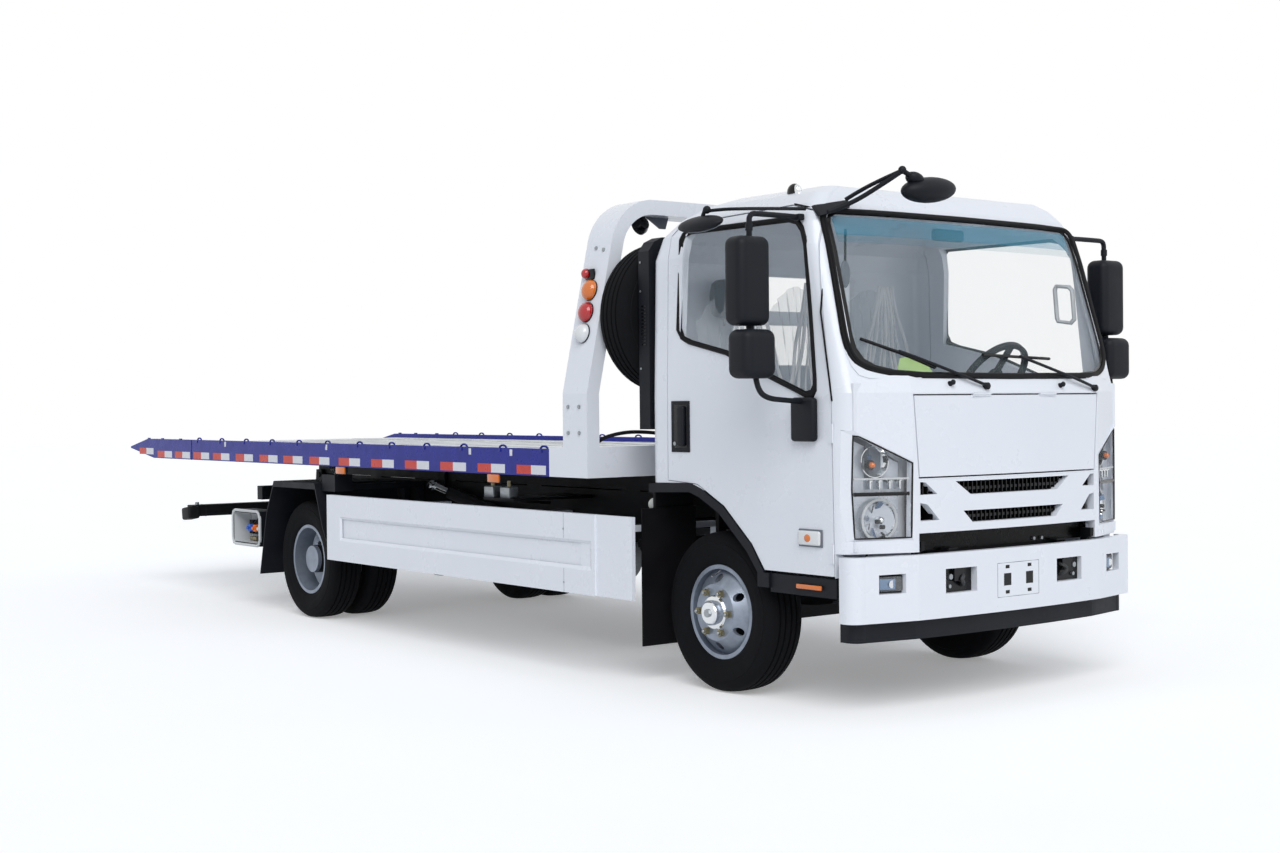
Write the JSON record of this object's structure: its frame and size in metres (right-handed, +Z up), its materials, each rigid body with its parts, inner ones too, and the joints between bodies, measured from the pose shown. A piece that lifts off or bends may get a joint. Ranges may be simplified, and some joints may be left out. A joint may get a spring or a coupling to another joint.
{
  "type": "flatbed tow truck",
  "caption": "Forward-control flatbed tow truck with a sliding, tilting bed, a hoop gantry, a bed winch and a rear underlift.",
  "frame": {"origin": "on the ground below the middle of the overall length and width", "axes": "+X towards the truck's left side, +Y towards its rear, +Z up"},
  "size_m": [2.8, 8.22, 2.54],
  "materials": {
    "white_paint": "gloss",
    "blue_paint": "gloss",
    "black_paint": "satin",
    "silver_paint": "satin",
    "cast_metal": "rough",
    "bare_steel": "brushed",
    "chrome_rod": "polished",
    "tyre_rubber": "matte",
    "flap_rubber": "matte",
    "black_plastic": "matte",
    "grey_plastic": "matte",
    "seat_cloth": "matte",
    "clear_glass": "polished",
    "lamp_lens": "polished",
    "deck_paint": "satin"
  },
  "bodies": {
    "chassis": {"chassis_frame": "black_paint", "engine_block": "cast_metal", "front_axle": "black_paint", "rear_axle": "black_paint", "propeller_shaft": "black_paint", "fuel_tank": "black_paint", "silencer": "bare_steel", "bumper": "white_paint", "valance": "black_plastic", "rear_fenders": "black_plastic", "mud_flaps": "flap_rubber", "side_skirts": "white_paint", "hydraulic_controls": "grey_plastic", "tail_lamps": "black_plastic"},
    "cab": {"cab_shell": "white_paint", "cab_glass": "clear_glass", "grille": "white_paint", "headlamps": "lamp_lens", "dashboard": "grey_plastic", "seats": "seat_cloth", "snorkel": "black_plastic", "cab_steps": "black_plastic"},
    "front_lid": {"front_lid": "white_paint"},
    "steering_wheel": {"steering_wheel": "black_plastic"},
    "door_left": {"door_left": "white_paint", "door_glass_left": "clear_glass", "mirrors_left": "black_plastic"},
    "door_right": {"door_right": "white_paint", "door_glass_right": "clear_glass", "mirrors_right": "black_plastic"},
    "knuckle_left": {"knuckle_left": "cast_metal"},
    "knuckle_right": {"knuckle_right": "cast_metal"},
    "front_wheel_left": {"front_wheel_left": "silver_paint", "front_tyre_left": "tyre_rubber"},
    "front_wheel_right": {"front_wheel_right": "silver_paint", "front_tyre_right": "tyre_rubber"},
    "rear_wheels_left": {"rear_wheels_left": "silver_paint", "rear_tyres_left": "tyre_rubber"},
    "rear_wheels_right": {"rear_wheels_right": "silver_paint", "rear_tyres_right": "tyre_rubber"},
    "tilt_frame": {"tilt_frame": "black_paint"},
    "tilt_barrels": {"tilt_barrels": "black_paint"},
    "tilt_rods": {"tilt_rods": "chrome_rod"},
    "bed": {"bed_deck": "deck_paint", "slide_rod": "chrome_rod", "side_rails": "blue_paint", "gantry": "white_paint", "spare_wheel": "silver_paint", "spare_tyre": "tyre_rubber", "winch": "black_paint"},
    "winch_drum": {"winch_drum": "bare_steel"},
    "lift_boom": {"lift_boom": "black_paint"},
    "lift_crossbar": {"lift_crossbar": "black_paint"}
  },
  "joints": [
    {"name": "cab_tilt", "type": "hinge", "parent": "chassis", "child": "cab", "pos_m": [0, -4.048, 0.775], "axis": [1, 0, 0], "range_deg": [0, 45]},
    {"name": "front_lid_hinge", "type": "hinge", "parent": "cab", "child": "front_lid", "pos_m": [0, -4.1, 1.468], "axis": [1, 0, 0], "range_deg": [-70, 0]},
    {"name": "steering_wheel_turn", "type": "hinge", "parent": "cab", "child": "steering_wheel", "pos_m": [0.47, -3.56, 1.56], "axis": [0, -0.788, -0.6157], "range_deg": [-576, 576]},
    {"name": "door_left_hinge", "type": "hinge", "parent": "cab", "child": "door_left", "pos_m": [1.003, -3.8775, 1.4], "axis": [0, 0, -1], "range_deg": [0, 70]},
    {"name": "door_right_hinge", "type": "hinge", "parent": "cab", "child": "door_right", "pos_m": [-1.003, -3.8775, 1.4], "axis": [0, 0, 1], "range_deg": [0, 70]},
    {"name": "steer_left", "type": "hinge", "parent": "chassis", "child": "knuckle_left", "pos_m": [0.72, -3, 0.4], "axis": [0, 0, 1], "range_deg": [-36, 36]},
    {"name": "steer_right", "type": "hinge", "parent": "chassis", "child": "knuckle_right", "pos_m": [-0.72, -3, 0.4], "axis": [0, 0, 1], "range_deg": [-36, 36]},
    {"name": "front_wheel_left_spin", "type": "hinge", "parent": "knuckle_left", "child": "front_wheel_left", "pos_m": [0.84, -3, 0.4], "axis": [1, 0, 0], "continuous": true},
    {"name": "front_wheel_right_spin", "type": "hinge", "parent": "knuckle_right", "child": "front_wheel_right", "pos_m": [-0.84, -3, 0.4], "axis": [1, 0, 0], "continuous": true},
    {"name": "rear_wheels_left_spin", "type": "hinge", "parent": "chassis", "child": "rear_wheels_left", "pos_m": [0.825, 1.175, 0.4], "axis": [1, 0, 0], "continuous": true},
    {"name": "rear_wheels_right_spin", "type": "hinge", "parent": "chassis", "child": "rear_wheels_right", "pos_m": [-0.825, 1.175, 0.4], "axis": [1, 0, 0], "continuous": true},
    {"name": "bed_tilt", "type": "hinge", "parent": "chassis", "child": "tilt_frame", "pos_m": [0, 2.2, 0.93], "axis": [-1, 0, 0], "range_deg": [0, 13]},
    {"name": "tilt_barrel_swing", "type": "hinge", "parent": "chassis", "child": "tilt_barrels", "pos_m": [0, -0.9, 0.64], "axis": [1, 0, 0], "range_deg": [0, 20]},
    {"name": "tilt_rod_extend", "type": "slide", "parent": "tilt_barrels", "child": "tilt_rods", "axis": [0, 0.9813, 0.1926], "range_m": [0, 0.2]},
    {"name": "bed_slide", "type": "slide", "parent": "tilt_frame", "child": "bed", "axis": [0, 1, 0], "range_m": [0, 2.9]},
    {"name": "winch_turn", "type": "hinge", "parent": "bed", "child": "winch_drum", "pos_m": [0, -1.89, 1.33], "axis": [1, 0, 0], "continuous": true},
    {"name": "lift_lower", "type": "hinge", "parent": "chassis", "child": "lift_boom", "pos_m": [0, 1.8, 0.68], "axis": [-1, 0, 0], "range_deg": [0, 18]},
    {"name": "lift_extend", "type": "slide", "parent": "lift_boom", "child": "lift_crossbar", "axis": [0, 1, 0], "range_m": [0, 0.2]}
  ],
  "couplings": [
    {"joint": "steer_right", "follows": "steer_left", "ratio": 1},
    {"joint": "steering_wheel_turn", "follows": "steer_left", "ratio": -16},
    {"joint": "tilt_barrel_swing", "follows": "bed_tilt", "ratio": 1.0987},
    {"joint": "tilt_rod_extend", "follows": "bed_tilt", "m_per_rad": 0.7139}
  ]
}
